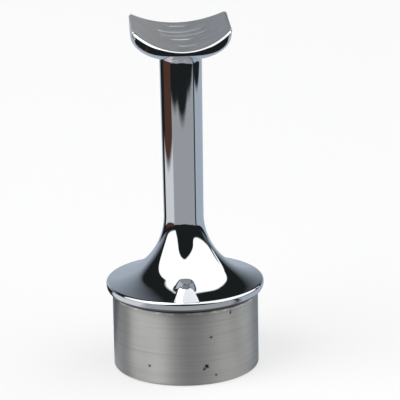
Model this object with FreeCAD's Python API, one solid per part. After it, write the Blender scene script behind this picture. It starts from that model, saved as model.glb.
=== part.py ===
import FreeCAD, Part
import math
import os

# Handrail bracket: one investment casting in stainless steel.
# A turned spigot plugs into the top of a post tube, a rounded rim covers the tube's end,
# a trumpet flare runs up into a slim stem, and a dished head carries the handrail tube.
# Frame: Z up along the post, Y along the handrail, origin at the middle of the spigot's open end.
# All sizes in millimetres.

# Tubes that the casting joins
rail_dia = 50.8               # handrail tube that lies in the head
post_bore = 47.8              # inside of the post tube
post_wall = 1.5               # and its wall
spigot_clearance = 0.3        # on diameter, spigot to post tube

# Spigot and rim
spigot_length = 25.2          # open end to the underside of the rim
spigot_edge_round = 0.8       # outer edge of the open end
rim_overhang = 0.3            # rim beyond the outside of the post tube
rim_height = 3.5              # underside of the rim to its upper edge
rim_under_round = 2.3         # large round under the rim
rim_edge_round = 0.5          # small round on its upper edge

# Flare and stem
flare_slope = 14.0            # degrees, dish of the flare where it leaves the rim
dish_radius = 33.0            # sweep of the dish
flare_radius = 21.8           # tighter sweep from the dish up into the stem
stem_waist_dia = 12.9         # where the flare ends
stem_head_dia = 13.6          # where the stem meets the head

# Head
saddle_height = 109.7         # open end of the spigot to the lowest line of the rail seat
head_width = 31.6             # across the rail, between the flat cheeks
head_dia = 41.4               # disc that the head is cut from, seen from above
bowl_width = 32.5             # the polished bowl under the seat, across the rail
bowl_length = 45.8            # and along it
bowl_depth = 8.2              # widest level of the bowl to its bottom
bowl_rise = 2.1               # widest level above the lowest line of the rail seat
cheek_height = 6.0            # upright part of the bowl's wall, above its widest level
bowl_squareness = (6.0, 1.42, 1.3, 0.97, 0.64)   # from the cheeks' top down, 0.707 is round
corner_round = 1.2            # upright corners between cheeks and ends
seat_edge_round = 0.7         # polished edge round the rail seat
stem_head_fillet = 1.4        # stem into the bowl

# Hollow underside, left by the casting core
wall = 3.0                    # spigot, rim and flare
core_top_dia = 9.0            # flat tip of the core
core_bend_round = 3.0         # where the core's cup turns into its trumpet
core_tip_round = 2.0          # edge of that tip

close_enough = 0.001          # when edges are picked by where they lie

# Sizes that follow from them
rail_r = rail_dia / 2
spigot_r = (post_bore - spigot_clearance) / 2
rim_r = post_bore / 2 + post_wall + rim_overhang
waist_r = stem_waist_dia / 2
stem_head_r = stem_head_dia / 2
head_r = head_dia / 2
bore_r = spigot_r - wall
core_tip_r = core_top_dia / 2
rim_top_z = spigot_length + rim_height
bowl_z = saddle_height + bowl_rise
bowl_bottom_z = bowl_z - bowl_depth


def point(radius, z):
    """A point of a profile, in the XZ plane."""
    return FreeCAD.Vector(radius, 0, z)


def line(start, end):
    return Part.LineSegment(start, end).toShape()


def arc(center, radius, start_deg, end_deg):
    """Arc in the XZ plane, with its angle measured from +X towards +Z."""
    middle_deg = (start_deg + end_deg) / 2
    on_arc = []
    for deg in (start_deg, middle_deg, end_deg):
        angle = math.radians(deg)
        step = FreeCAD.Vector(math.cos(angle), 0, math.sin(angle)) * radius
        on_arc.append(center + step)
    return Part.Arc(*on_arc).toShape(), on_arc[0], on_arc[2]


def revolve(edges):
    """Closed profile, one edge of it on the Z axis, turned into a solid."""
    face = Part.Face(Part.Wire(Part.__sortEdges__(edges)))
    return face.revolve(FreeCAD.Vector(0, 0, 0), FreeCAD.Vector(0, 0, 1), 360)


def rim_edge():
    """The small round on the rim's upper edge, tangent to the rim's side and to the dish."""
    slope = math.radians(flare_slope)
    corner_rise = rim_edge_round * math.tan((math.pi / 2 - slope) / 2)
    center = point(rim_r - rim_edge_round, rim_top_z - corner_rise)
    return arc(center, rim_edge_round, 0, 90 - flare_slope)


def flare():
    """Centres of the dish's sweep and of the flare's, the angle of the radius on which they
    meet, and the stem's taper, both in degrees.

    The dish starts on the rim's edge, and the flare touches the tapered stem at its waist.
    The taper depends on the waist's height, which depends on the taper, so a few rounds
    settle both.
    """
    slope = math.radians(flare_slope)
    dish_center = rim_edge()[2] + point(math.sin(slope), math.cos(slope)) * dish_radius
    taper = 0.0
    for _ in range(6):
        center_r = waist_r + flare_radius * math.cos(taper)
        meeting = math.acos((dish_center.x - center_r) / (dish_radius - flare_radius))
        center_z = dish_center.z - (dish_radius - flare_radius) * math.sin(meeting)
        waist_z = center_z + flare_radius * math.sin(taper)
        taper = math.atan((stem_head_r - waist_r) / (bowl_bottom_z - waist_z))
    return dish_center, point(center_r, center_z), math.degrees(meeting), math.degrees(taper)


def stem_and_base():
    """Spigot, rim, flare and stem, turned about the post's axis."""
    dish_center, flare_center, meeting, taper = flare()

    edge_center = point(spigot_r - spigot_edge_round, spigot_edge_round)
    foot_edge, edge_low, edge_high = arc(edge_center, spigot_edge_round, -90, 0)

    # The large round starts on the spigot's wall, or on a flat underside where the rim is wider
    under_center = point(rim_r - rim_under_round, spigot_length + rim_under_round)
    under_lean = math.asin(max(spigot_r - under_center.x, 0) / rim_under_round)
    under_edge, under_low, under_high = arc(under_center, rim_under_round,
                                            math.degrees(under_lean) - 90, 0)
    spigot_top = point(spigot_r, under_low.z)
    underside = [line(spigot_top, under_low)] if under_low.x > spigot_r + 1e-6 else []

    top_edge, top_low, top_high = rim_edge()
    dish, dish_low, dish_high = arc(dish_center, dish_radius, 270 - flare_slope, 180 + meeting)
    sweep, sweep_low, sweep_high = arc(flare_center, flare_radius, 180 + meeting, 180 - taper)

    # The stem runs on into the head, to half way up the bowl
    stem_top_z = bowl_bottom_z + bowl_depth / 2
    stem_top_r = sweep_high.x + (stem_top_z - sweep_high.z) * math.tan(math.radians(taper))
    stem_top = point(stem_top_r, stem_top_z)

    return revolve(underside + [
        line(point(0, 0), edge_low),
        foot_edge,
        line(edge_high, spigot_top),
        under_edge,
        line(under_high, top_low),
        top_edge,
        dish,
        sweep,
        line(sweep_high, stem_top),
        line(stem_top, point(0, stem_top_z)),
        line(point(0, stem_top_z), point(0, 0)),
    ])


def core():
    """The space that the core left: a cup that narrows into a trumpet, one wall inside the flare."""
    dish_center, flare_center, meeting, _ = flare()
    dish_reach = dish_radius + wall
    flare_reach = flare_radius + wall
    bend_angle = 180 + math.degrees(math.acos((dish_center.x - bore_r) / dish_reach))
    tip_angle = 180 + math.degrees(math.acos((flare_center.x - core_tip_r) / flare_reach))
    dish, bend, dish_high = arc(dish_center, dish_reach, bend_angle, 180 + meeting)
    sweep, sweep_low, sweep_high = arc(flare_center, flare_reach, 180 + meeting, tip_angle)

    solid = revolve([
        line(point(0, 0), point(bore_r, 0)),
        line(point(bore_r, 0), bend),
        dish,
        sweep,
        line(sweep_high, point(0, sweep_high.z)),
        line(point(0, sweep_high.z), point(0, 0)),
    ])
    bend_edges = circles_at(solid, bend.z)
    tip_edges = circles_at(solid, sweep_high.z)
    return solid.makeFillet(core_bend_round, bend_edges).makeFillet(core_tip_round, tip_edges)


def circles_at(solid, z):
    """The round edges of a turned solid that lie level at one height."""
    found = []
    for edge in solid.Edges:
        box = edge.BoundBox
        if box.ZLength < close_enough and abs(box.ZMin - z) < close_enough:
            found.append(edge)
    return found


def bowl():
    """Body of the head as one smooth surface, before its cheeks, ends and seat are cut.

    Level sections are four conic arcs, square near the top and close to an ellipse at the
    bottom. Upright sections are straight above the widest level and a quarter ellipse below.
    """
    round_weight = math.sqrt(0.5)
    levels = [
        (1, bowl_z + cheek_height, 1),
        (1, bowl_z + cheek_height / 2, 1),
        (1, bowl_z, 1),
        (1, bowl_bottom_z, round_weight),
        (0, bowl_bottom_z, 1),
    ]
    turn = [(1, 0), (1, -1), (0, -1), (-1, -1), (-1, 0), (-1, 1), (0, 1), (1, 1), (1, 0)]
    poles = []
    weights = []
    for across, along in turn:
        corner = across != 0 and along != 0
        column = []
        column_weights = []
        for (spread, z, weight), squareness in zip(levels, bowl_squareness):
            x = across * spread * bowl_width / 2
            y = along * spread * bowl_length / 2
            column.append(FreeCAD.Vector(x, y, z))
            column_weights.append(weight * squareness if corner else weight)
        poles.append(column)
        weights.append(column_weights)
    surface = Part.BSplineSurface()
    surface.buildFromPolesMultsKnots(poles, [3, 2, 2, 2, 3], [3, 2, 3], [0, 1, 2, 3, 4], [0, 1, 2],
                                     False, False, 2, 2, weights)
    skin = surface.toShape()
    brim = [edge for edge in skin.Edges if edge.BoundBox.ZMin > bowl_z + cheek_height - close_enough]
    shell = Part.Shell([skin, Part.Face(Part.Wire(brim))])
    shell.sewShape()
    return Part.Solid(shell)


def head():
    """The bowl with its cheeks cut flat and its ends cut to a disc."""
    low_z = bowl_bottom_z - bowl_depth
    height = 2 * bowl_depth + cheek_height
    disc = Part.makeCylinder(head_r, height, FreeCAD.Vector(0, 0, low_z))
    slab = Part.makeBox(head_width, head_dia, height, FreeCAD.Vector(-head_width / 2, -head_r, low_z))
    plan = disc.common(slab)
    plan = plan.makeFillet(corner_round, edges_where(plan, on_upright_corner))
    return bowl().common(plan)


def rail():
    """The handrail tube where it lies in the head, longer than the head at both ends."""
    start = FreeCAD.Vector(0, -head_dia, saddle_height + rail_r)
    return Part.makeCylinder(rail_r, 2 * head_dia, start, FreeCAD.Vector(0, 1, 0))


def edges_where(solid, test):
    """Edges of a solid with every one of a few points along them passing a test."""
    found = []
    for edge in solid.Edges:
        if not edge.Degenerated and all(test(place) for place in edge.discretize(7)):
            found.append(edge)
    return found


def on_upright_corner(place):
    """True where the flat cheeks meet the disc."""
    on_cheek = abs(abs(place.x) - head_width / 2) < close_enough
    return on_cheek and abs(math.hypot(place.x, place.y) - head_r) < close_enough


def on_seat(place):
    """True on the surface that the rail lies on."""
    return abs(math.hypot(place.x, place.z - saddle_height - rail_r) - rail_r) < close_enough


def on_stem_joint(place):
    """True on the ring where the stem enters the bowl."""
    near_stem = math.hypot(place.x, place.y) < stem_head_r + stem_head_fillet / 2
    return near_stem and bowl_bottom_z - stem_head_fillet < place.z < bowl_z


def bracket_casting():
    """The whole casting."""
    casting = stem_and_base().fuse(head())
    casting = casting.makeFillet(stem_head_fillet, edges_where(casting, on_stem_joint))
    casting = casting.cut(rail())
    casting = casting.makeFillet(seat_edge_round, edges_where(casting, on_seat))
    return casting.cut(core()).Solids[0]


os.makedirs("parts", exist_ok=True)
bracket_casting().exportStep("parts/bracket_casting.step")
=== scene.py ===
import math

import bmesh
import bpy
import numpy as np
from mathutils import Matrix, Vector

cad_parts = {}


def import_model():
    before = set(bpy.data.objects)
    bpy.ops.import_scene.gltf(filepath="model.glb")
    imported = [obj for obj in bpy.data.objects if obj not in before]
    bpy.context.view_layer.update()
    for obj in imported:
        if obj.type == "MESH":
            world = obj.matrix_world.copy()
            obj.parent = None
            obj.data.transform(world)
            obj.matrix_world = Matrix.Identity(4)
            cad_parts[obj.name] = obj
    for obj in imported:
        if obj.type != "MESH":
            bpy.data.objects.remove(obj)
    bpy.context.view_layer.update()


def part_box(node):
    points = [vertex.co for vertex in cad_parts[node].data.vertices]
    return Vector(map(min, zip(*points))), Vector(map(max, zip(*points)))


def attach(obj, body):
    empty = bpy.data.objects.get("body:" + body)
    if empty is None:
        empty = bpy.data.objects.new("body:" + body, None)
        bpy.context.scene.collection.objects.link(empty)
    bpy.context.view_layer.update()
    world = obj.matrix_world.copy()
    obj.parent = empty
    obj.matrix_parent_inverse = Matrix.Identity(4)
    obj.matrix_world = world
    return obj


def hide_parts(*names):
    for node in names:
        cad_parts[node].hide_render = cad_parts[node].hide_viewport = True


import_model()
low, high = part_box("bracket_casting")
print("frame loaded, casting box", low, high)

mm = 0.001


# small helpers

# sRGB hex to the linear values that a node socket takes
def hexColour(text):
    values = [int(text[i:i + 2], 16) / 255 for i in (1, 3, 5)]
    linear = [v / 12.92 if v <= 0.04045 else ((v + 0.055) / 1.055) ** 2.4 for v in values]
    return (*linear, 1.0)


# one node with its settings; links are values or output sockets, in order or by an input's name or number
def addNode(tree, kind, links=(), **settings):
    node = tree.nodes.new(kind)
    for name, value in settings.items():
        setattr(node, name, value)
    for key, value in links.items() if isinstance(links, dict) else enumerate(links):
        if isinstance(value, bpy.types.NodeSocket):
            tree.links.new(value, node.inputs[key])
        else:
            node.inputs[key].default_value = value
    return node


def newMaterial(name):
    material = bpy.data.materials.new(name)
    material.use_nodes = True
    material.node_tree.nodes.clear()
    return material, material.node_tree


# the casting's form, in millimetres; the rim's radius comes from the frame

casting = {
    "rimRadius": (high[0] - low[0]) / 2 / mm,
    "spigotRadius": 23.75,
    "spigotLength": 25.2,
    "footRound": 0.8,
    "rimHeight": 3.5,
    "rimUnderRound": 2.3,
    "rimEdgeRound": 1.0,
    "flareSlope": 14.0,
    "dishRadius": 33.0,
    "flareRadius": 21.8,
    "waistRadius": 6.45,
    "stemHeadRadius": 6.8,
    "wall": 3.0,
    "coreTipRadius": 4.5,
    "coreBend": 3.0,
    "coreTipRound": 2.0,
    "seatHeight": 109.7,
    "railRadius": 25.4,
    "headHalfWidth": 15.8,
    "headRadius": 20.7,
    "bowlHalfWidth": 16.25,
    "bowlHalfLength": 22.9,
    "bowlDepth": 8.2,
    "bowlRise": 2.1,
    "cheekHeight": 6.0,
    "squareness": (6.0, 1.42, 1.3, 0.97, 0.64),
    "cornerRound": 1.2,
    "seatEdge": 0.7,
    "castBand": 1.15,
    "tipStart": 12.6,
    "tipHalfLength": 13.2,
    "tipRise": 2.6,
    "stemFillet": 1.4,
    "stemJoin": 1.6,       # from the bowl down to where the turned part meets the head
    "hollowTop": 45.0,     # above any part of the hollow
    "segments": 288,
}
bowlLevel = casting["seatHeight"] + casting["bowlRise"]
bowlBottom = bowlLevel - casting["bowlDepth"]


def arcPoints(centre, radius, startDeg, endDeg, steps):
    angles = np.radians(np.linspace(startDeg, endDeg, steps + 1))
    return [(centre[0] + radius * math.cos(a), centre[1] + radius * math.sin(a)) for a in angles]


# straight run with a close row at each end, so that the shading turns only in the rounds
def runPoints(start, end, steps, support=0.12):
    start, end = np.array(start), np.array(end)
    length = np.linalg.norm(end - start)
    near = min(support / length, 0.3)
    shares = [near, *np.linspace(near, 1 - near, steps + 1)[1:-1], 1 - near]
    return [tuple(start + (end - start) * share) for share in shares]


# small round on the rim's upper edge, from its side to the dish
def rimEdge(c):
    rise = c["rimEdgeRound"] * math.tan(math.radians(90 - c["flareSlope"]) / 2)
    centre = (c["rimRadius"] - c["rimEdgeRound"], c["spigotLength"] + c["rimHeight"] - rise)
    return arcPoints(centre, c["rimEdgeRound"], 0, 90 - c["flareSlope"], 8)


# centres of the dish and of the flare, the angle where they meet, and the stem's taper
def flareCentres(c):
    slope, taper = math.radians(c["flareSlope"]), 0.0
    start = rimEdge(c)[-1]
    dish = (start[0] + c["dishRadius"] * math.sin(slope), start[1] + c["dishRadius"] * math.cos(slope))
    apart = c["dishRadius"] - c["flareRadius"]
    for _ in range(6):
        x = c["waistRadius"] + c["flareRadius"] * math.cos(taper)
        meeting = math.acos((dish[0] - x) / apart)
        z = dish[1] - apart * math.sin(meeting)
        waistZ = z + c["flareRadius"] * math.sin(taper)
        taper = math.atan((c["stemHeadRadius"] - c["waistRadius"]) / (bowlBottom - waistZ))
    return dish, (x, z), math.degrees(meeting), taper


# half section of all that is turned: up from the core's tip, round the foot, and up to the head
def turnedProfile(c):
    dish, flare, meeting, taper = flareCentres(c)
    boreRadius = c["spigotRadius"] - c["wall"]

    # the hollow that the core left, with its two edges rounded
    flareReach, dishReach = c["flareRadius"] + c["wall"], c["dishRadius"] + c["wall"]
    tip = c["coreTipRound"]
    tipDeg = 180 + math.degrees(math.acos((flare[0] - c["coreTipRadius"]) / flareReach))
    tipZ = flare[1] + flareReach * math.sin(math.radians(tipDeg))
    tipCentreX = flare[0] - math.sqrt((flareReach + tip) ** 2 - (flare[1] - tipZ + tip) ** 2)
    touchDeg = 180 + math.degrees(math.atan2(flare[1] - tipZ + tip, flare[0] - tipCentreX))
    bend = c["coreBend"]
    bendX = boreRadius - bend
    bendZ = dish[1] - math.sqrt((dishReach + bend) ** 2 - (dish[0] - bendX) ** 2)
    bendDeg = math.degrees(math.atan2(dish[1] - bendZ, dish[0] - bendX))
    points = [(0.0, tipZ), (tipCentreX * 0.6, tipZ)]
    points += arcPoints((tipCentreX, tipZ - tip), tip, 90, touchDeg - 180, 6)
    points += arcPoints(flare, flareReach, touchDeg, 180 + meeting, 14)
    points += arcPoints(dish, dishReach, 180 + meeting, 180 + bendDeg, 8)[1:]
    points += arcPoints((bendX, bendZ), bend, bendDeg, 0, 8)[1:]
    points += runPoints(points[-1], (boreRadius, 0), 6)
    points += [(boreRadius, 0.0)]

    # foot, spigot and rim
    foot = c["footRound"]
    points += runPoints((boreRadius, 0), (c["spigotRadius"] - foot, 0), 2)
    points += arcPoints((c["spigotRadius"] - foot, foot), foot, -90, 0, 8)
    underCentre = (c["rimRadius"] - c["rimUnderRound"], c["spigotLength"] + c["rimUnderRound"])
    startDeg = -90 + math.degrees(math.asin((c["spigotRadius"] - underCentre[0]) / c["rimUnderRound"]))
    under = arcPoints(underCentre, c["rimUnderRound"], startDeg, 0, 14)
    points += runPoints((c["spigotRadius"], foot), under[0], 12)
    points += under
    edge = rimEdge(c)
    points += runPoints(under[-1], edge[0], 2, 0.06)
    points += edge

    # dish, flare and stem
    points += arcPoints(dish, c["dishRadius"], 270 - c["flareSlope"], 180 + meeting, 26)[1:]
    sweep = arcPoints(flare, c["flareRadius"], 180 + meeting, 180 - math.degrees(taper), 44)[1:]
    points += sweep
    topZ = bowlBottom - c["stemJoin"]
    topX = sweep[-1][0] + (topZ - sweep[-1][1]) * math.tan(taper)
    points += runPoints(sweep[-1], (topX, topZ), 8)
    points += [(topX, topZ)]
    return points, taper


# Geometry Nodes: turns a profile of points about Z, closer together where the head has its corners
def turnTree():
    tree = bpy.data.node_groups.new("turnProfile", "GeometryNodeTree")
    face = tree.interface
    face.new_socket("Profile", in_out="INPUT", socket_type="NodeSocketGeometry")
    face.new_socket("Segments", in_out="INPUT", socket_type="NodeSocketInt")
    face.new_socket("Corner Shift", in_out="INPUT", socket_type="NodeSocketFloat")
    face.new_socket("Corner Gather", in_out="INPUT", socket_type="NodeSocketFloat")
    face.new_socket("Finish", in_out="INPUT", socket_type="NodeSocketMaterial")
    face.new_socket("Geometry", in_out="OUTPUT", socket_type="NodeSocketGeometry")
    given = addNode(tree, "NodeGroupInput").outputs

    # a grid with a row for each point of the profile and a column for each angle
    rows = addNode(tree, "GeometryNodeAttributeDomainSize", (given["Profile"],)).outputs["Point Count"]
    columns = addNode(tree, "ShaderNodeMath", (given["Segments"], 1.0), operation="ADD").outputs[0]
    grid = addNode(tree, "GeometryNodeMeshGrid", {"Size X": 1.0, "Size Y": 1.0, "Vertices Y": rows,
                                                  "Vertices X": columns})
    index = addNode(tree, "GeometryNodeInputIndex").outputs[0]
    row = addNode(tree, "ShaderNodeMath", (index, rows), operation="MODULO").outputs[0]
    column = addNode(tree, "ShaderNodeMath", (index, rows), operation="DIVIDE").outputs[0]
    column = addNode(tree, "ShaderNodeMath", (column,), operation="FLOOR").outputs[0]
    place = addNode(tree, "GeometryNodeInputPosition").outputs[0]
    sample = addNode(tree, "GeometryNodeSampleIndex", {0: given["Profile"], 1: place, "Index": row},
                     data_type="FLOAT_VECTOR")
    radius = addNode(tree, "ShaderNodeSeparateXYZ", (sample.outputs[0],)).outputs

    # each column's angle: even steps, less the shift's wave, plus the gather's
    share = addNode(tree, "ShaderNodeMath", (column, given["Segments"]), operation="DIVIDE").outputs[0]
    plain = addNode(tree, "ShaderNodeMath", (share, 2 * math.pi), operation="MULTIPLY").outputs[0]
    waves = []
    for times, size in ((2.0, "Corner Shift"), (4.0, "Corner Gather")):
        turn = addNode(tree, "ShaderNodeMath", (plain, times), operation="MULTIPLY").outputs[0]
        wave = addNode(tree, "ShaderNodeMath", (turn,), operation="SINE").outputs[0]
        waves.append(addNode(tree, "ShaderNodeMath", (wave, given[size]), operation="MULTIPLY").outputs[0])
    angle = addNode(tree, "ShaderNodeMath", (plain, waves[0]), operation="SUBTRACT").outputs[0]
    angle = addNode(tree, "ShaderNodeMath", (angle, waves[1]), operation="ADD").outputs[0]
    cosine = addNode(tree, "ShaderNodeMath", (angle,), operation="COSINE").outputs[0]
    sine = addNode(tree, "ShaderNodeMath", (angle,), operation="SINE").outputs[0]
    across = addNode(tree, "ShaderNodeMath", (radius["X"], cosine), operation="MULTIPLY").outputs[0]
    along = addNode(tree, "ShaderNodeMath", (radius["X"], sine), operation="MULTIPLY").outputs[0]
    turned = addNode(tree, "ShaderNodeCombineXYZ", {"X": across, "Y": along, "Z": radius["Z"]})
    placed = addNode(tree, "GeometryNodeSetPosition", {0: grid.outputs["Mesh"],
                                                       "Position": turned.outputs[0]})
    closed = addNode(tree, "GeometryNodeMergeByDistance", {0: placed.outputs[0], "Distance": 1e-6})
    smooth = addNode(tree, "GeometryNodeSetShadeSmooth", {0: closed.outputs[0]})
    real = addNode(tree, "GeometryNodeRealizeInstances", {0: smooth.outputs[0]})
    painted = addNode(tree, "GeometryNodeSetMaterial", {0: real.outputs[0], "Material": given["Finish"]})
    addNode(tree, "NodeGroupOutput", {"Geometry": painted.outputs[0]})
    return tree


# angles at which the sections of the head stand: even, but gathered at the head's corners
cornerAngle = math.acos(casting["headHalfWidth"] / casting["headRadius"])
cornerShift = math.pi / 4 - cornerAngle
cornerGather = 0.2


def sectionAngles(count):
    plain = np.arange(count) / count * 2 * math.pi
    return plain - cornerShift * np.sin(2 * plain) + cornerGather * np.sin(4 * plain)


# the turned part of the casting as a plain mesh
def makeTurned(c, finish):
    points, taper = turnedProfile(c)
    mesh = bpy.data.meshes.new("turnedProfile")
    mesh.from_pydata([(r * mm, 0, z * mm) for r, z in points],
                     [(i, i + 1) for i in range(len(points) - 1)], [])
    source = bpy.data.objects.new("turnedProfile", mesh)
    bpy.context.scene.collection.objects.link(source)
    modifier = source.modifiers.new("turn", "NODES")
    modifier.node_group = turnTree()
    sockets = {item.name: item.identifier for item in modifier.node_group.interface.items_tree
               if item.in_out == "INPUT"}
    modifier[sockets["Segments"]] = c["segments"]
    modifier[sockets["Corner Shift"]] = cornerShift
    modifier[sockets["Corner Gather"]] = cornerGather
    modifier[sockets["Finish"]] = finish
    graph = bpy.context.evaluated_depsgraph_get()
    result = bpy.data.meshes.new_from_object(source.evaluated_get(graph))
    bpy.data.objects.remove(source)
    print("turned part:", len(result.vertices), "points")
    return result, points[-1], taper


# upright section of the bowl at one angle: radius and height from the cheeks' top to the bottom
def bowlSection(c, angle, shares):
    half = math.sqrt(0.5)
    spread = np.array((1, 1, 1, 1, 0.0))
    level = np.array((bowlLevel + c["cheekHeight"], bowlLevel + c["cheekHeight"] / 2, bowlLevel,
                      bowlBottom, bowlBottom))
    weight = np.array((1, 1, 1, half, 1))
    square = weight * np.array(c["squareness"])
    radii, heights = [], []
    for share in shares:
        first = 0 if share < 1 else 2
        t = share - (0 if share < 1 else 1)
        basis = np.array(((1 - t) ** 2, 2 * t * (1 - t), t * t))
        part = slice(first, first + 3)
        sideWeight = basis @ weight[part]
        sideSpread = basis @ (weight * spread)[part]
        sideLevel = basis @ (weight * level)[part]
        cornerWeight = basis @ square[part]
        cornerSpread = basis @ (square * spread)[part]
        cornerLevel = basis @ (square * level)[part]
        across, along = abs(math.cos(angle)), abs(math.sin(angle))
        if sideSpread < 1e-9:
            radii.append(0.0)
            heights.append(bowlBottom)
            continue
        if across < 1e-9:
            u = 1.0
        else:
            tangent = along / across * c["bowlHalfWidth"] / c["bowlHalfLength"]
            lead = cornerSpread * (1 - tangent)
            m = (-lead + math.sqrt(lead ** 2 + tangent * sideSpread ** 2)) / sideSpread
            u = m / (1 + m)
        a, b, d = (1 - u) ** 2, 2 * u * (1 - u), u * u
        total = (a + d) * sideWeight + b * cornerWeight
        x = c["bowlHalfWidth"] * (a * sideSpread + b * cornerSpread) / total
        y = c["bowlHalfLength"] * (b * cornerSpread + d * sideSpread) / total
        radii.append(math.hypot(x, y))
        heights.append(((a + d) * sideLevel + b * cornerLevel) / total)
    return np.array(radii), np.array(heights)


# how far out the cheeks, the disc and the round between them let the head reach at one angle
def headLimit(c, angle):
    across, along = abs(math.cos(angle)), abs(math.sin(angle))
    r = c["cornerRound"]
    centreX = c["headHalfWidth"] - r
    centreY = math.sqrt((c["headRadius"] - r) ** 2 - centreX ** 2)
    if along / max(across, 1e-9) < centreY / c["headHalfWidth"]:
        return c["headHalfWidth"] / across
    if along / max(across, 1e-9) > centreY / centreX:
        return c["headRadius"]
    reach = centreX * across + centreY * along
    return reach + math.sqrt(reach ** 2 - centreX ** 2 - centreY ** 2 + r * r)


def seatLevel(c, radius, angle):
    x = radius * math.cos(angle)
    return c["seatHeight"] + c["railRadius"] - math.sqrt(c["railRadius"] ** 2 - x * x)


# one upright section of the head, from the stem to the middle of the seat
def headSection(c, angle, start, taper):
    shares = np.concatenate((np.linspace(0.0, 1.0, 60)[:-1], 2 - np.linspace(1.0, 0.0, 240) ** 1.5))
    radii, heights = bowlSection(c, angle, shares)

    # round between stem and bowl
    fillet = c["stemFillet"]
    slopeR, slopeZ = np.gradient(radii), np.gradient(heights)
    size = np.hypot(slopeR, slopeZ) + 1e-12
    offsetR = radii - slopeZ / size * fillet
    offsetZ = heights + slopeR / size * fillet
    wallX = start[0] + fillet / math.cos(taper)
    lower = heights < bowlLevel - 1
    gap = offsetR[lower] - wallX - (offsetZ[lower] - start[1]) * math.tan(taper)
    order = np.argsort(gap)
    touchR = float(np.interp(0, gap[order], radii[lower][order]))
    touchZ = float(np.interp(0, gap[order], heights[lower][order]))
    centreR = float(np.interp(0, gap[order], offsetR[lower][order]))
    centreZ = float(np.interp(0, gap[order], offsetZ[lower][order]))
    endDeg = math.degrees(math.atan2(touchZ - centreZ, touchR - centreR))
    section = arcPoints((centreR, centreZ), fillet, 180 - math.degrees(taper), endDeg, 10)

    # outer line: the bowl up to its cheek or end, then straight up to the seat
    along, upright = radii[::-1], heights[::-1]
    limit = headLimit(c, angle)
    count = int(np.argmax(along >= limit)) if np.any(along >= limit) else len(along)
    lineR, lineZ = list(along[:count]), list(upright[:count])
    if count < len(along):
        share = (limit - along[count - 1]) / max(along[count] - along[count - 1], 1e-9)
        edgeZ = upright[count - 1] + share * (upright[count] - upright[count - 1])
        lineR += [limit, limit]
        lineZ += [edgeZ, bowlLevel + c["cheekHeight"]]
    lineR, lineZ = np.array(lineR), np.array(lineZ)
    length = np.concatenate(([0], np.cumsum(np.hypot(np.diff(lineR), np.diff(lineZ)))))
    crease = length[-2] if count < len(along) else length[-1]
    over = np.array([z - seatLevel(c, r, angle) for r, z in zip(lineR, lineZ)])
    past = int(np.argmax(over > 0))
    share = over[past - 1] / (over[past - 1] - over[past])
    corner = length[past - 1] + share * (length[past] - length[past - 1])
    cornerR, cornerZ = float(np.interp(corner, length, lineR)), float(np.interp(corner, length, lineZ))

    # round over to the seat, tangent to the outer line and to the seat
    back = corner - 0.3
    down = np.array((np.interp(back, length, lineR) - cornerR, np.interp(back, length, lineZ) - cornerZ))
    inward = np.array((-0.3, seatLevel(c, cornerR - 0.3, angle) - cornerZ))
    down, inward = down / np.linalg.norm(down), inward / np.linalg.norm(inward)
    half = math.acos(float(np.clip(down @ inward, -1, 1))) / 2
    cut = c["seatEdge"] / math.tan(half)
    middle = down + inward
    centre = np.array((cornerR, cornerZ)) + middle / np.linalg.norm(middle) * c["seatEdge"] / math.sin(half)
    startTurn, endTurn = (math.degrees(math.atan2(cornerZ + side[1] * cut - centre[1],
                                                  cornerR + side[0] * cut - centre[0]))
                          for side in (down, inward))

    roundStart = corner - cut
    crease = min(crease, roundStart - 0.25)
    touch = float(np.interp(touchR, lineR[:count], length[:count]))
    near = [crease - 0.35, crease - 0.1, crease]
    steps = [*np.linspace(touch, crease - 0.35, 47)[1:-1], *near]
    steps += [crease + 0.08, *np.linspace(crease + 0.08, roundStart - 0.06, 6)[1:], roundStart - 0.02]
    section += [(float(np.interp(x, length, lineR)), float(np.interp(x, length, lineZ))) for x in steps]
    section += arcPoints(tuple(centre), c["seatEdge"], startTurn, endTurn, 12)

    # seat
    seatStart = section[-1][0]
    for share in (0.006, 0.02, *np.linspace(0.05, 0.97, 28)):
        radius = seatStart * (1 - share)
        section.append((radius, seatLevel(c, radius, angle)))
    return section


# rows of points for the head, one section for each angle
def makeHead(c, start, taper):
    angles = sectionAngles(c["segments"])
    sections = [headSection(c, angle, start, taper) for angle in angles]
    rows = len(sections[0])
    points = [(start[0] * math.cos(a), start[0] * math.sin(a), start[1]) for a in angles]
    for row in range(rows):
        for angle, section in zip(angles, sections):
            radius, height = section[row]
            points.append((radius * math.cos(angle), radius * math.sin(angle), height))
    points.append((0, 0, c["seatHeight"]))
    count = c["segments"]
    faces = []
    for row in range(rows):
        for i in range(count):
            j = (i + 1) % count
            faces.append((row * count + i, row * count + j, (row + 1) * count + j, (row + 1) * count + i))
    for i in range(count):
        faces.append((rows * count + i, rows * count + (i + 1) % count, len(points) - 1))
    mesh = bpy.data.meshes.new("head")
    mesh.from_pydata([Vector(p) * mm for p in points], [], faces)
    return mesh


# finishes

def metalOutput(tree, shader):
    addNode(tree, "ShaderNodeOutputMaterial", {"Surface": shader.outputs[0]})


# colours laid over one another, each where its share is 1
def layColours(tree, colour, layers):
    for share, over in layers:
        links = {"Factor": share, "A": colour, "B": over}
        colour = addNode(tree, "ShaderNodeMix", links, data_type="RGBA").outputs["Result"]
    return colour


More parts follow.
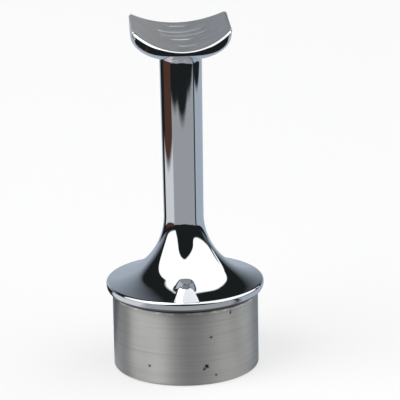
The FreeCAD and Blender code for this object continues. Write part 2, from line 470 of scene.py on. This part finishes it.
# mirror-polished stainless: clear reflections, with a faint buffing haze and shallow waves
def mirrorSteel():
    look = {
        "colour": "#E4E6E9",
        "roughness": 0.035,
        "waveLength": 6.25,      # millimetres
        "waveDepth": 0.2,
        "waveStrength": 0.02,
    }
    material, tree = newMaterial("mirrorPolishedStainless")
    place = addNode(tree, "ShaderNodeTexCoord").outputs["Object"]
    wave = addNode(tree, "ShaderNodeTexNoise", {
        "Vector": place, "Scale": 1 / (look["waveLength"] * mm), "Detail": 1.0})
    bump = addNode(tree, "ShaderNodeBump", {
        "Height": wave.outputs[0], "Strength": look["waveStrength"], "Distance": look["waveDepth"] * mm})
    shader = addNode(tree, "ShaderNodeBsdfPrincipled", {
        "Base Color": hexColour(look["colour"]), "Metallic": 1.0, "Roughness": look["roughness"],
        "Normal": bump.outputs[0]})
    metalOutput(tree, shader)
    return material


# as-cast stainless, blasted: matt grey grain
def castSteel():
    look = {
        "colour": "#74777B",
        "roughness": 0.55,
        "grain": 0.4,            # millimetres, coarser than blasting leaves so that it shows
        "grainDepth": 0.1,
        "grainStrength": 0.3,
    }
    material, tree = newMaterial("blastedCastStainless")
    place = addNode(tree, "ShaderNodeTexCoord").outputs["Object"]
    grain = addNode(tree, "ShaderNodeTexNoise", {
        "Vector": place, "Scale": 1 / (look["grain"] * mm), "Detail": 2.0})
    bump = addNode(tree, "ShaderNodeBump", {
        "Height": grain.outputs[0], "Strength": look["grainStrength"], "Distance": look["grainDepth"] * mm})
    shader = addNode(tree, "ShaderNodeBsdfPrincipled", {
        "Base Color": hexColour(look["colour"]), "Metallic": 1.0, "Roughness": look["roughness"],
        "Normal": bump.outputs[0]})
    metalOutput(tree, shader)
    return material


# turned stainless: fine level rings smear reflections up and down, with a few pits and rubbed patches;
# painted shade in the pits and in the corner under the rim, and a painted highlight below that corner
def turnedSteel(c):
    look = {
        "colour": "#D0CFCC", "rubbed": "#C0BEBB", "paintedShade": "#3C3A3A", "highlightColour": "#FFFDF2",
        "roughness": 0.50,
        "anisotropy": 0.97,
        "anisotropyTurn": 0.25,
        "bumpDepth": 0.1,
        "bumpStrength": 0.3,
        # length and height of one mark, in millimetres
        "ringSize": (100 / 3, 2 / 9),     # coarser than a tool's feed so that they show
        "rubSize": (100 / 3, 2 / 3),
        "highlightPatchSize": (3.125, 10 / 9),
        "crumbSize": 2 / 3,
        "ragged": 1.1,            # how far the pits' edges wander
        "pitCore": 0.4,           # share of a pit's radius that is all dark
        "corner": (0.45, 0.25),   # painted shade, a dark line in the corner below the rim
        "highlightLine": (1.3, 0.8),        # painted highlight, a broken bright line under it
        # turn from the front in degrees, height, radius
        "pits": [(12.8, 6.4, 0.95), (10.8, 5.6, 0.7), (16.8, 16.1, 0.55), (-33.3, 6.2, 0.55),
                 (20.3, 3.1, 0.5), (34.1, 23.2, 0.55)],
    }
    material, tree = newMaterial("turnedStainless")
    place = addNode(tree, "ShaderNodeTexCoord").outputs["Object"]
    height = addNode(tree, "ShaderNodeSeparateXYZ", (place,)).outputs["Z"]

    # noise drawn out round the spigot
    def marks(size, detail):
        length, rise = size
        scale = (1 / (length * mm), 1 / (length * mm), 1 / (rise * mm))
        squeeze = addNode(tree, "ShaderNodeMapping", {"Vector": place, "Scale": scale})
        links = {"Vector": squeeze.outputs[0], "Scale": 1.0, "Detail": detail}
        return addNode(tree, "ShaderNodeTexNoise", links).outputs[0]

    # 0 below a line under the rim, 1 above the next
    def belowRim(lines):
        start, end = ((c["spigotLength"] - line) * mm for line in lines)
        links = {"Value": height, "From Min": start, "From Max": end}
        return addNode(tree, "ShaderNodeMapRange", links).outputs[0]

    rings = marks(look["ringSize"], 3.0)
    rubbed = addNode(tree, "ShaderNodeMapRange", {
        "Value": marks(look["rubSize"], 4.0), "From Min": 0.45, "From Max": 0.8})

    # pits with ragged edges, painted dark as shade in their hollows
    crumb = addNode(tree, "ShaderNodeTexNoise", {
        "Vector": place, "Scale": 1 / (look["crumbSize"] * mm), "Detail": 2.0})
    wander = look["ragged"] * mm
    half = addNode(tree, "ShaderNodeVectorMath", (place, (wander / 2,) * 3), operation="SUBTRACT")
    ragged = addNode(tree, "ShaderNodeVectorMath", (crumb.outputs["Color"], (wander,) * 3, half.outputs[0]),
                     operation="MULTIPLY_ADD")
    # painted shade: the corner line under the rim and the pits take the dark colour
    dark = belowRim(look["corner"])
    for turn, level, radius in look["pits"]:
        angle = math.radians(turn - 90)
        reach = c["spigotRadius"] * mm
        centre = (reach * math.cos(angle), reach * math.sin(angle), level * mm)
        far = addNode(tree, "ShaderNodeVectorMath", (ragged.outputs[0], centre), operation="DISTANCE")
        pit = addNode(tree, "ShaderNodeMapRange", {
            "Value": far.outputs["Value"], "From Min": radius * mm,
            "From Max": radius * mm * look["pitCore"]})
        dark = addNode(tree, "ShaderNodeMath", (dark, pit.outputs[0]), operation="MAXIMUM").outputs[0]

    # painted highlight: a broken bright line just under the painted shade line
    highlightPatches = addNode(tree, "ShaderNodeMapRange", {
        "Value": marks(look["highlightPatchSize"], 3.0), "From Min": 0.47, "From Max": 0.58})
    highlightLine = addNode(tree, "ShaderNodeMath", (belowRim(look["highlightLine"]), highlightPatches.outputs[0]), operation="MULTIPLY")
    colour = layColours(tree, hexColour(look["colour"]), (
        (rubbed.outputs[0], hexColour(look["rubbed"])),
        (highlightLine.outputs[0], hexColour(look["highlightColour"])),
        (dark, hexColour(look["paintedShade"]))))
    bump = addNode(tree, "ShaderNodeBump", {
        "Height": rings, "Strength": look["bumpStrength"], "Distance": look["bumpDepth"] * mm})
    tangent = addNode(tree, "ShaderNodeTangent", direction_type="RADIAL", axis="Z")
    shader = addNode(tree, "ShaderNodeBsdfPrincipled", {
        "Base Color": colour, "Metallic": 1.0, "Roughness": look["roughness"],
        "Anisotropic": look["anisotropy"], "Anisotropic Rotation": look["anisotropyTurn"],
        "Tangent": tangent.outputs[0], "Normal": bump.outputs[0]})
    metalOutput(tree, shader)
    return material


# ground stainless seat: dull satin, with soft ripples across the rail, raised and smoother, and painted
# bright as a painted highlight
def groundSteel():
    look = {
        "colour": "#DAD6D0", "darkerTone": "#BBB8B6", "paintedGlint": "#F8F8F8",
        "roughness": 0.40,
        # sizes in millimetres
        "grain": 5 / 6,           # coarser than the grit so that it shows
        "grainDepth": 0.1,
        "grainStrength": 0.15,
        "patch": 50 / 13,
        "mottle": 0.35,
        "darkerFrom": -6.0,
        "darkerTo": 10.0,
        "rippleRoughness": 0.27,
        "rippleHeight": 0.38,
        "rippleCrest": 0.1,
        "rippleEnd": 2.6,
        # place along the rail, left end, right end, half width
        "ripples": [(6.4, -6.2, 6.2, 1.2), (0.8, -5.4, 6.8, 1.4), (-3.8, -1.8, 2.0, 0.8),
                    (14.6, -2.4, 1.4, 1.1), (-12.6, -0.4, 3.8, 1.2)],
    }
    material, tree = newMaterial("groundStainless")
    place = addNode(tree, "ShaderNodeTexCoord").outputs["Object"]
    axis = addNode(tree, "ShaderNodeSeparateXYZ", (place,)).outputs
    grain = addNode(tree, "ShaderNodeTexNoise", {
        "Vector": place, "Scale": 1 / (look["grain"] * mm), "Detail": 3.0})
    bump = addNode(tree, "ShaderNodeBump", {
        "Height": grain.outputs[0], "Strength": look["grainStrength"], "Distance": look["grainDepth"] * mm})

    # 1 within half a width of the middle, and smoothly down to 0 beyond it
    def band(value, middle, half, soft):
        apart = addNode(tree, "ShaderNodeMath", (value, middle * mm), operation="SUBTRACT").outputs[0]
        size = addNode(tree, "ShaderNodeMath", (apart,), operation="ABSOLUTE").outputs[0]
        links = {"Value": size, "From Min": (half + soft) * mm, "From Max": half * mm}
        return addNode(tree, "ShaderNodeMapRange", links, interpolation_type="SMOOTHSTEP").outputs[0]

    # ripples: a bump and lower roughness, and a painted highlight in their colour
    ripples = 0.0
    for along, left, right, half in look["ripples"]:
        lengthwise = band(axis["Y"], along, look["rippleCrest"], half)
        crosswise = band(axis["X"], (left + right) / 2, (right - left) / 2, look["rippleEnd"])
        ripple = addNode(tree, "ShaderNodeMath", (lengthwise, crosswise), operation="MULTIPLY").outputs[0]
        ripples = addNode(tree, "ShaderNodeMath", (ripples, ripple), operation="MAXIMUM").outputs[0]

    # a little darker to the right, and uneven
    patches = addNode(tree, "ShaderNodeTexNoise", {
        "Vector": place, "Scale": 1 / (look["patch"] * mm), "Detail": 3.0})
    uneven = addNode(tree, "ShaderNodeMapRange", {
        "Value": patches.outputs[0], "From Min": 0.3, "From Max": 0.7,
        "To Min": -look["mottle"], "To Max": look["mottle"]})
    rightward = addNode(tree, "ShaderNodeMapRange", {
        "Value": axis["X"], "From Min": look["darkerFrom"] * mm, "From Max": look["darkerTo"] * mm})
    darkerTone = addNode(tree, "ShaderNodeMath", (rightward.outputs[0], uneven.outputs[0]),
                   operation="ADD", use_clamp=True)
    colour = layColours(tree, hexColour(look["colour"]), (
        (darkerTone.outputs[0], hexColour(look["darkerTone"])),
        (ripples, hexColour(look["paintedGlint"]))))
    raised = addNode(tree, "ShaderNodeBump", {
        "Height": ripples, "Strength": 1.0, "Distance": look["rippleHeight"] * mm,
        "Normal": bump.outputs[0]})
    rough = addNode(tree, "ShaderNodeMapRange", {
        "Value": ripples, "To Min": look["roughness"], "To Max": look["rippleRoughness"]})
    shader = addNode(tree, "ShaderNodeBsdfPrincipled", {
        "Base Color": colour, "Metallic": 1.0, "Roughness": rough.outputs[0],
        "Normal": raised.outputs[0]})
    metalOutput(tree, shader)
    return material


# which finish a face has: 0 mirror, 1 cast, 2 turned, 3 ground
def finishIndex(c, centre):
    radius, height = math.hypot(centre.x, centre.y) / mm, centre.z / mm
    inHollow = height < c["hollowTop"] and radius < c["spigotRadius"] - c["wall"] + 0.1
    if height < 1e-3 or (inHollow and height < innerTop(c, radius)):
        return 1
    if height < c["spigotLength"] + 0.02:
        return 2
    if height < c["spigotLength"] + c["castBand"]:
        return 1
    x, y = abs(centre.x / mm), abs(centre.y / mm)
    fromRail = math.hypot(x, height - c["seatHeight"] - c["railRadius"]) - c["railRadius"]
    onSeat = height > c["seatHeight"] - 0.5 and abs(fromRail) < 0.03
    onTip = (c["tipStart"] < x < c["headHalfWidth"] - 0.05 and y < c["tipHalfLength"]
             and height > c["seatHeight"] + c["tipRise"])
    return 3 if onSeat or onTip else 0


# height below which a point at that radius is in the hollow, half a wall under the flare's skin
def innerTop(c, radius):
    dish, flare, meeting, _ = flareCentres(c)
    half = c["wall"] / 2
    if radius < flare[0] - c["flareRadius"] - half:
        return c["hollowTop"]
    onFlare = flare[0] - radius > (c["flareRadius"] + half) * math.cos(math.radians(meeting))
    centre, reach = (flare, c["flareRadius"] + half) if onFlare else (dish, c["dishRadius"] + half)
    return centre[1] - math.sqrt(max(reach ** 2 - (centre[0] - radius) ** 2, 0.0))


def makeCasting(c):
    finishes = [mirrorSteel(), castSteel(), turnedSteel(c), groundSteel()]
    turned, start, taper = makeTurned(c, finishes[0])
    head = makeHead(c, start, taper)
    form = bmesh.new()
    form.from_mesh(turned)
    form.from_mesh(head)
    bmesh.ops.remove_doubles(form, verts=form.verts, dist=2e-6)
    bmesh.ops.recalc_face_normals(form, faces=form.faces)
    for face in form.faces:
        face.smooth = True
        face.material_index = finishIndex(c, face.calc_center_median())
    mesh = bpy.data.meshes.new("bracket")
    form.to_mesh(mesh)
    openEdges = sum(1 for edge in form.edges if not edge.is_manifold)
    volume = form.calc_volume() / mm ** 3
    print("casting:", len(form.faces), "faces, open edges", openEdges, "volume", volume)
    form.free()
    for finish in finishes:
        mesh.materials.append(finish)
    used = [face.material_index for face in mesh.polygons]
    print("faces by finish, mirror, cast, turned, ground:", [used.count(i) for i in range(len(finishes))])
    piece = bpy.data.objects.new("bracket", mesh)
    bpy.context.scene.collection.objects.link(piece)
    return piece


bracket = makeCasting(casting)
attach(bracket, "root")
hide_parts("bracket_casting")


# studio: pale floor, white tent, and what the polish mirrors

studio = {
    "tentLight": 1.3,
    "tentBlur": 0.03,
    "backdropBlur": 0.42,
    "tentColour": "#FFFFFF",
    "roomColour": "#1E2122",
    "backdropColour": "#AEB8C4",
    "paperColour": "#A4A7AB",
    "tableColour": "#54382F",
    "litPaperColour": "#DCDFE2",
    "floorSize": 1.2,
    "floorDrop": 0.05 * mm,   # so that the foot and the floor are not in one plane
    "floorGlow": 0.55,
    "gapAzimuth": 131.0,
    "gapWidth": 3.0,
    "gapFoot": 8.0,
    "gapBlur": 0.04,
}

# height in degrees of the tent's lower edge, and of the backdrop's upper edge, round the bracket
tentEdge = [(-180, 60), (-160, 66), (-115, 68), (-107, 45), (-100, 8), (-92, 2), (-55, 0), (-44, 7),
            (-34, 22), (-26, 38), (-12, 48), (-3, 50), (10, 46), (25, 38), (38, 27), (47, 13), (75, 10),
            (115, 10), (125, 21), (138, 40), (150, 53), (170, 62), (180, 60)]
backdropEdge = [(-180, 26), (-160, 36), (-142, 18), (-118, -2), (-90, -20), (90, -20), (120, -8),
                (130, -8), (145, 4), (160, 15), (180, 26)]


def makeWorld(s):
    world = bpy.data.worlds.new("studio")
    bpy.context.scene.world = world
    world.use_nodes = True
    tree = world.node_tree
    tree.nodes.clear()

    # direction round the bracket, 0.5 at the front, and height, 1 straight up
    way = addNode(tree, "ShaderNodeTexCoord").outputs["Generated"]
    axis = addNode(tree, "ShaderNodeSeparateXYZ", (way,)).outputs
    front = addNode(tree, "ShaderNodeMath", (axis["Y"], -1.0), operation="MULTIPLY").outputs[0]
    turn = addNode(tree, "ShaderNodeMath", (axis["X"], front), operation="ARCTAN2").outputs[0]
    turn = addNode(tree, "ShaderNodeMath", (turn, 2 * math.pi), operation="DIVIDE").outputs[0]
    share = addNode(tree, "ShaderNodeMath", (turn, 0.5), operation="ADD").outputs[0]
    rise = addNode(tree, "ShaderNodeMath", (axis["Z"],), operation="ARCSINE").outputs[0]
    height = addNode(tree, "ShaderNodeMath", (rise, math.pi / 2), operation="DIVIDE").outputs[0]

    def edgeCurve(points):
        node = addNode(tree, "ShaderNodeFloatCurve", {"Value": share})
        curve = node.mapping.curves[0]
        node.mapping.clip_min_y = -1
        node.mapping.use_clip = False
        for _ in range(len(points) - 2):
            curve.points.new(0.5, 0.5)
        for point, (azimuth, elevation) in zip(curve.points, points):
            point.location = (azimuth / 360 + 0.5, elevation / 90)
            point.handle_type = "AUTO_CLAMPED"
        node.mapping.update()
        return node.outputs[0]

    # 1 above an edge and 0 below it, with a soft line between
    def above(edge, blur):
        over = addNode(tree, "ShaderNodeMath", (height, edge), operation="SUBTRACT").outputs[0]
        over = addNode(tree, "ShaderNodeMath", (over, blur), operation="DIVIDE").outputs[0]
        return addNode(tree, "ShaderNodeMath", (over, 0.5), operation="ADD", use_clamp=True).outputs[0]

    # slim bright gap at the right, drawn out along the flare
    gapPlace = s["gapAzimuth"] / 360 + 0.5
    aside = addNode(tree, "ShaderNodeMath", (share, gapPlace), operation="SUBTRACT").outputs[0]
    aside = addNode(tree, "ShaderNodeMath", (aside,), operation="ABSOLUTE").outputs[0]
    slot = addNode(tree, "ShaderNodeMapRange", {
        "Value": aside, "From Min": s["gapWidth"] / 360, "From Max": s["gapWidth"] / 720}).outputs[0]
    overFoot = above(s["gapFoot"] / 90, s["gapBlur"])
    inGap = addNode(tree, "ShaderNodeMath", (slot, overFoot), operation="MULTIPLY").outputs[0]
    inTent = above(edgeCurve(tentEdge), s["tentBlur"])
    inTent = addNode(tree, "ShaderNodeMath", (inTent, inGap), operation="MAXIMUM").outputs[0]

    ray = addNode(tree, "ShaderNodeLightPath").outputs
    colour = layColours(tree, hexColour(s["backdropColour"]), (
        (above(edgeCurve(backdropEdge), s["backdropBlur"]), hexColour(s["roomColour"])),
        (inTent, [v * s["tentLight"] for v in hexColour(s["tentColour"])[:3]] + [1.0]),
        (ray["Is Camera Ray"], (1, 1, 1, 1))))
    background = addNode(tree, "ShaderNodeBackground", {"Color": colour, "Strength": 1.0})
    addNode(tree, "ShaderNodeOutputWorld", {"Surface": background.outputs[0]})


def makeFloor(s):
    mesh = bpy.data.meshes.new("floor")
    size = s["floorSize"]
    corners = [(-size, -size, 0), (size, -size, 0), (size, size, 0), (-size, size, 0)]
    mesh.from_pydata(corners, [], [(0, 1, 2, 3)])
    floor = bpy.data.objects.new("floor", mesh)
    floor.location.z = low[2] - s["floorDrop"]
    bpy.context.scene.collection.objects.link(floor)
    material, tree = newMaterial("whitePaper")

    place = addNode(tree, "ShaderNodeTexCoord").outputs["Object"]
    axis = addNode(tree, "ShaderNodeSeparateXYZ", (place,)).outputs

    # 1 where acrossX * x + acrossY * y is below the limit, in metres
    def before(acrossX, acrossY, limit, blur=0.012):
        reachY = addNode(tree, "ShaderNodeMath", (axis["Y"], acrossY), operation="MULTIPLY").outputs[0]
        reach = addNode(tree, "ShaderNodeMath", (axis["X"], acrossX, reachY), operation="MULTIPLY_ADD")
        links = {"Value": reach.outputs[0], "From Min": limit + blur, "From Max": limit - blur}
        return addNode(tree, "ShaderNodeMapRange", links).outputs[0]

    def within(*sides):
        share = sides[0]
        for side in sides[1:]:
            share = addNode(tree, "ShaderNodeMath", (share, side), operation="MULTIPLY").outputs[0]
        return share

    # 1 between two directions seen from the bracket, in degrees from the front, to the right
    def sector(start, end):
        first, last = math.radians(start), math.radians(end)
        return within(before(-math.cos(first), -math.sin(first), 0.0, 0.006),
                      before(math.cos(last), math.sin(last), 0.0, 0.006))

    # what the polish mirrors on the floor: directions in degrees, edges in metres
    mirrored = layColours(tree, hexColour(s["roomColour"]), (
        (within(sector(-112, -62), before(1, 0, -0.232), before(-1, 0, 0.42)), hexColour(s["tableColour"])),
        (within(sector(-60, 65), before(0, -1, 0.298), before(0.555, -0.832, 0.340),
                before(-0.643, -0.766, 0.318), before(1, 0, 0.40)), hexColour(s["paperColour"])),
        (within(sector(-122, -58), before(-1, 0, 0.232)), hexColour(s["litPaperColour"])),
        (within(sector(73, 142), before(1, 0, 0.352, 0.008)), hexColour(s["backdropColour"])),
        (sector(138, 184), hexColour(s["backdropColour"])),
        (sector(-182, -148), hexColour(s["backdropColour"]))))
    ray = addNode(tree, "ShaderNodeLightPath").outputs
    forMirror = addNode(tree, "ShaderNodeEmission", {"Color": mirrored, "Strength": 1.0})
    matt = addNode(tree, "ShaderNodeBsdfDiffuse", {"Color": (0.95, 0.95, 0.95, 1)})
    white = addNode(tree, "ShaderNodeEmission", {"Color": (1, 1, 1, 1), "Strength": 1.0})
    forEye = addNode(tree, "ShaderNodeMixShader", (s["floorGlow"], matt.outputs[0], white.outputs[0]))
    shader = addNode(tree, "ShaderNodeMixShader",
                     (ray["Is Glossy Ray"], forEye.outputs[0], forMirror.outputs[0]))
    addNode(tree, "ShaderNodeOutputMaterial", {"Surface": shader.outputs[0]})
    mesh.materials.append(material)


def makeLamp(name, place, aim, size, power):
    light = bpy.data.lights.new(name, "AREA")
    light.size = size
    light.energy = power
    lamp = bpy.data.objects.new(name, light)
    lamp.location = place
    lamp.rotation_euler = (Vector(aim) - Vector(place)).to_track_quat("-Z", "Y").to_euler()
    bpy.context.scene.collection.objects.link(lamp)


def makeCamera():
    view = {"distance": 0.900, "elevation": math.radians(17.19), "azimuth": math.radians(-3.0),
            "aimHeight": 0.050, "lens": 249.8, "roll": math.radians(1.15), "shift": (0.0407, 0.0401)}
    data = bpy.data.cameras.new("camera")
    data.lens = view["lens"]
    data.sensor_width = 36
    data.shift_x, data.shift_y = view["shift"]
    data.clip_start = 0.01
    camera = bpy.data.objects.new("camera", data)
    aim = Vector((0, 0, view["aimHeight"]))
    flat = view["distance"] * math.cos(view["elevation"])
    away = Vector((math.sin(view["azimuth"]) * flat, -math.cos(view["azimuth"]) * flat,
                   view["distance"] * math.sin(view["elevation"])))
    camera.location = aim + away
    turn = (-away).to_track_quat("-Z", "Y").to_matrix().to_4x4()
    camera.rotation_euler = (turn @ Matrix.Rotation(-view["roll"], 4, "Z")).to_euler()
    bpy.context.scene.collection.objects.link(camera)
    bpy.context.scene.camera = camera


makeWorld(studio)
makeFloor(studio)
makeLamp("keyLamp", place=(-0.5, -0.3, 1.1), aim=(0, 0, 0.05), size=0.7, power=3.0)
makeCamera()
bpy.context.scene.view_settings.view_transform = "Standard"
print("studio ready")
